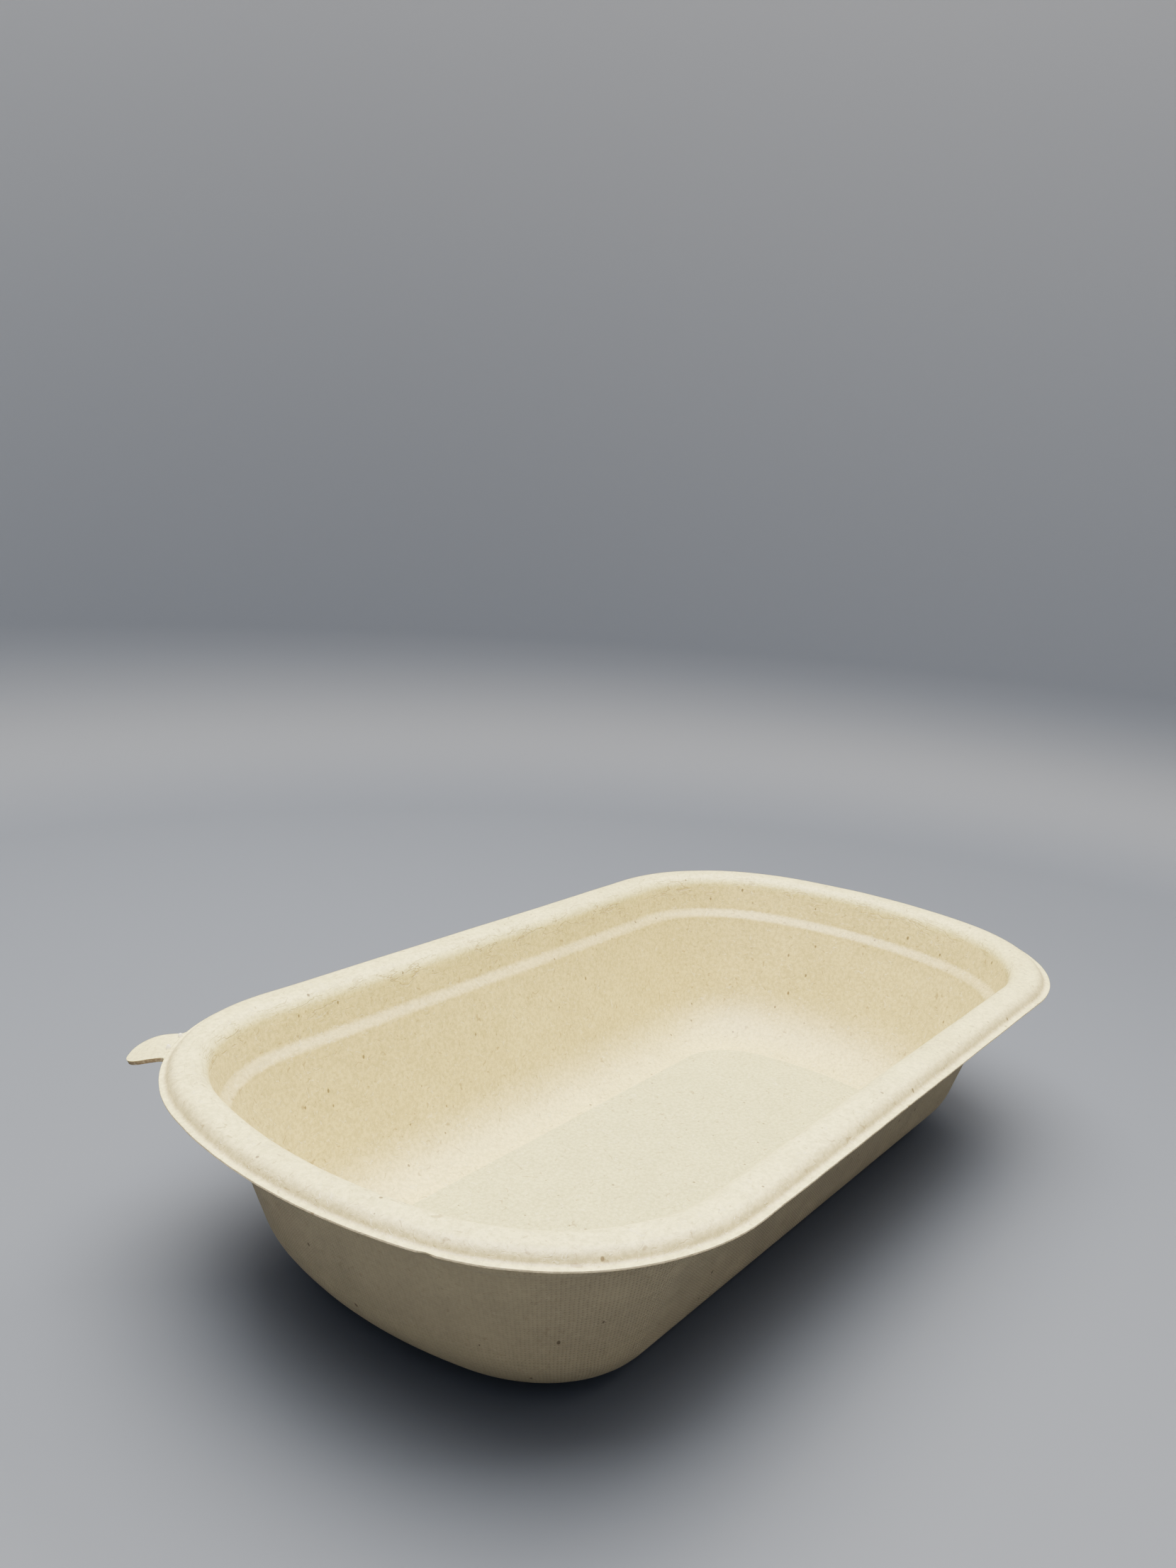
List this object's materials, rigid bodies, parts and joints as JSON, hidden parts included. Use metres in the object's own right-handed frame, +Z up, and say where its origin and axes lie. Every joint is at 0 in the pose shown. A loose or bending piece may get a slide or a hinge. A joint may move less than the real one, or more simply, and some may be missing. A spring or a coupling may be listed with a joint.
{
  "type": "moulded fibre dish",
  "caption": "Shallow rectangular dish of moulded plant fibre with rounded corners, a flat lip and rounded bead, a shoulder inside, a wide cove and a lift tab at a rim corner.",
  "frame": {"origin": "centre of the flat underside that the dish stands on", "axes": "+X along the length away from the lift tab's end, +Y across towards the lift tab's side, +Z up out of the bowl"},
  "size_m": [0.23, 0.1262, 0.0451],
  "materials": {
    "dish_fibre": "matte",
    "tab_fibre": "matte"
  },
  "bodies": {
    "dish": {"dish": "dish_fibre"},
    "lift_tab": {"lift_tab": "tab_fibre"}
  },
  "joints": [
    {"name": "tab_fold", "type": "hinge", "parent": "dish", "child": "lift_tab", "pos_m": [-0.09381, 0.05462, 0.0427], "axis": [0.809, 0.5878, 0], "range_deg": [-40, 40], "stiffness_Nm_per_rad": 0.01}
  ]
}
